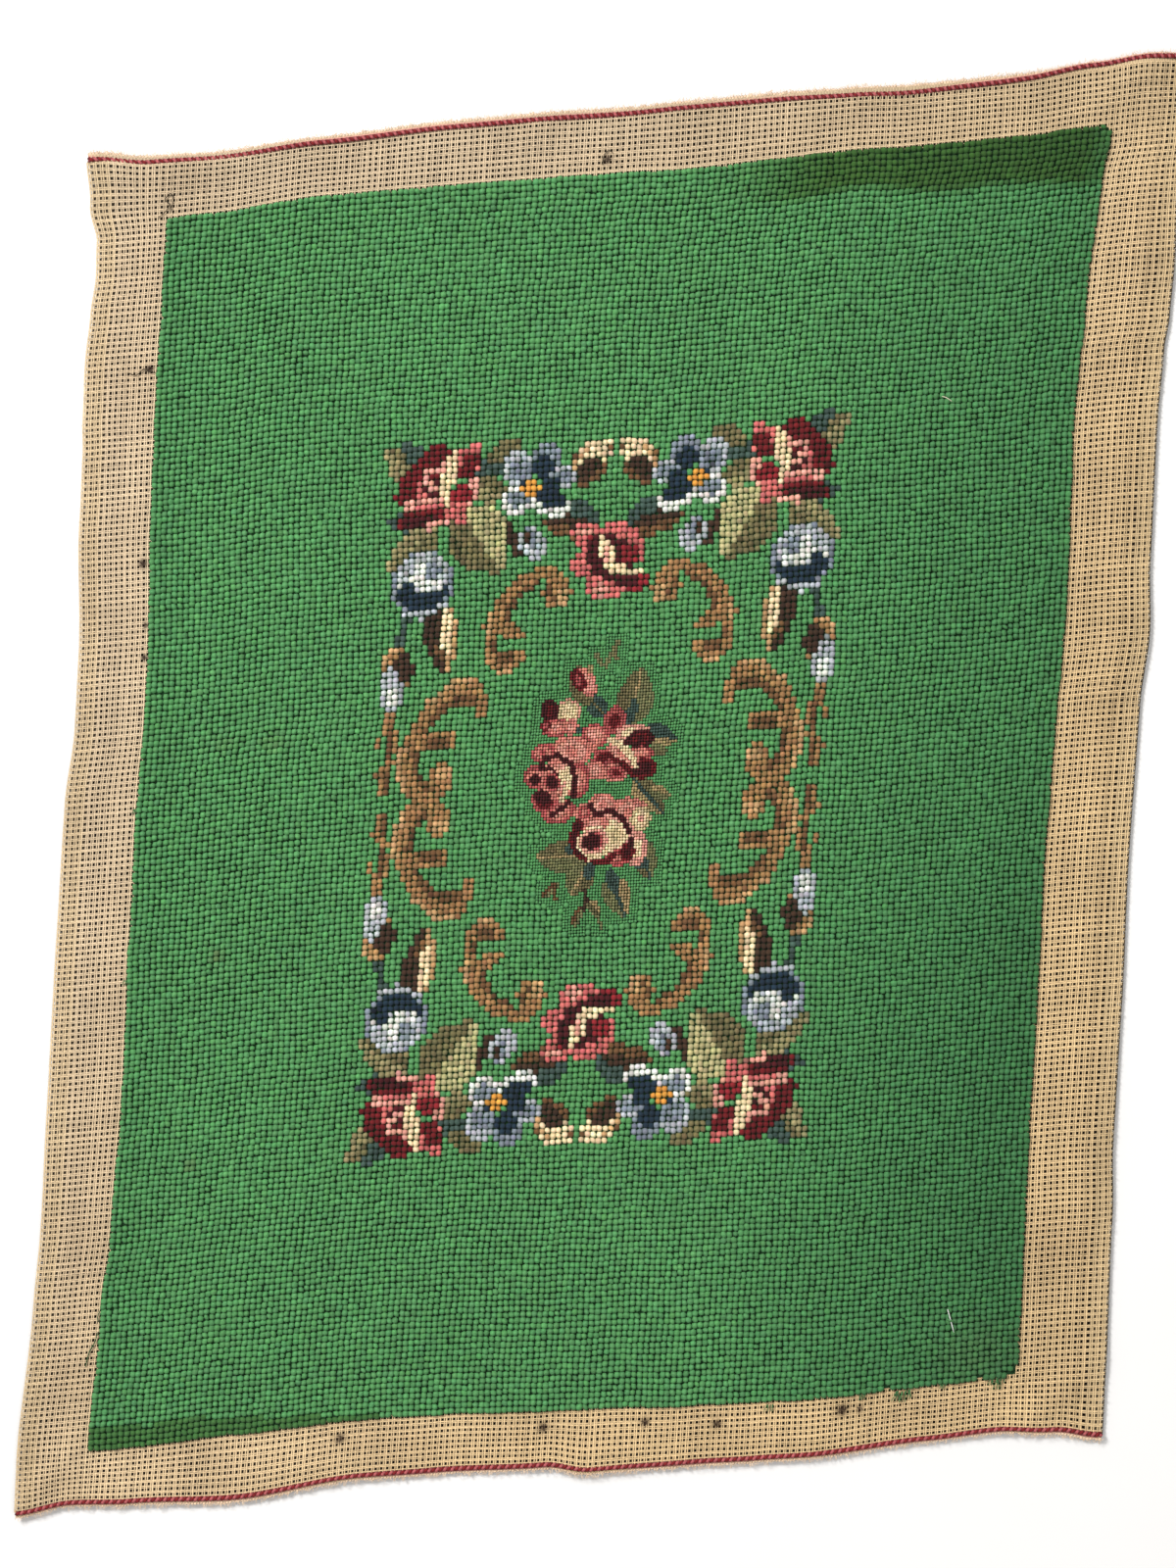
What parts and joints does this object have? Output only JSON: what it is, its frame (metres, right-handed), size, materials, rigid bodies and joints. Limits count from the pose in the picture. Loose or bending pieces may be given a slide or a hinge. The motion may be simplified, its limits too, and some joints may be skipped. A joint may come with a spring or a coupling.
{
  "type": "needlepoint canvas panel",
  "caption": "Flat worked needlepoint panel, pulled out of square, with a wool field, a bare open-mesh margin, selvedges top and bottom and turned-under side edges.",
  "frame": {"origin": "middle of the panel's bounding rectangle, at the plane of the back stitches, on which it lies", "axes": "+Z out of the worked face, +Y towards the top selvedge, +X to the right along the panel's width"},
  "size_m": [0.506, 0.6322, 0.0049],
  "materials": {
    "linen": "open double-thread weave, matt",
    "front_wool": "slanted wool stitches, matt",
    "back_wool": "upright wool back stitches, matt",
    "steel": "polished wire"
  },
  "bodies": {
    "root": {"canvas": "linen", "wool_front": "front_wool", "wool_back": "back_wool", "pin": "steel"}
  },
  "joints": []
}
